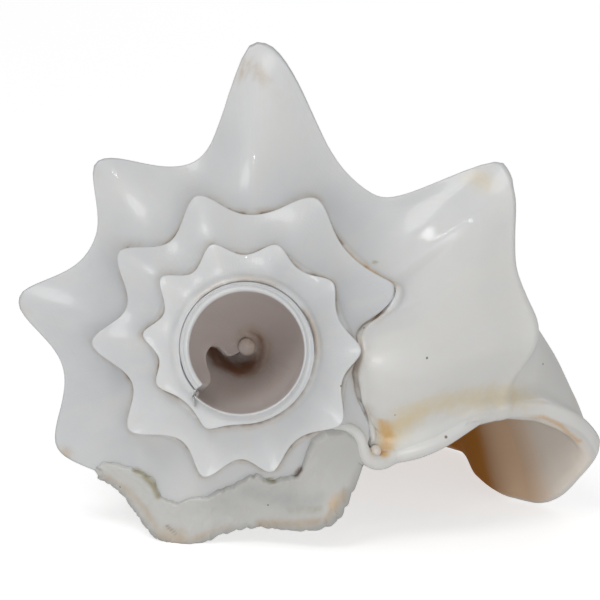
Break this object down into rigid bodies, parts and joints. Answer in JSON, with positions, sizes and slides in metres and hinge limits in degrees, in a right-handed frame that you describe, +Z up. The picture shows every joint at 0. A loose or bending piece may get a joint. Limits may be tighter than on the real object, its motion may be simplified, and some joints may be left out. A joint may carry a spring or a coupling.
{
  "type": "milk conch shell",
  "caption": "Heavy spired sea snail shell with knobbed whorls, a flared lip, an open aperture underneath and an apex ground off to a round hole.",
  "frame": {"origin": "middle of the bounding box's footprint, on the floor", "axes": "+Z up as the shell lies on its aperture, -Y towards the ground apex, +X towards the flared lip"},
  "size_m": [0.1366, 0.1638, 0.113],
  "materials": {
    "shell": "pale calcified shell, softly glossy, with brown suture lines and a cream to orange aperture"
  },
  "bodies": {
    "root": {"shell": "shell"}
  },
  "joints": []
}
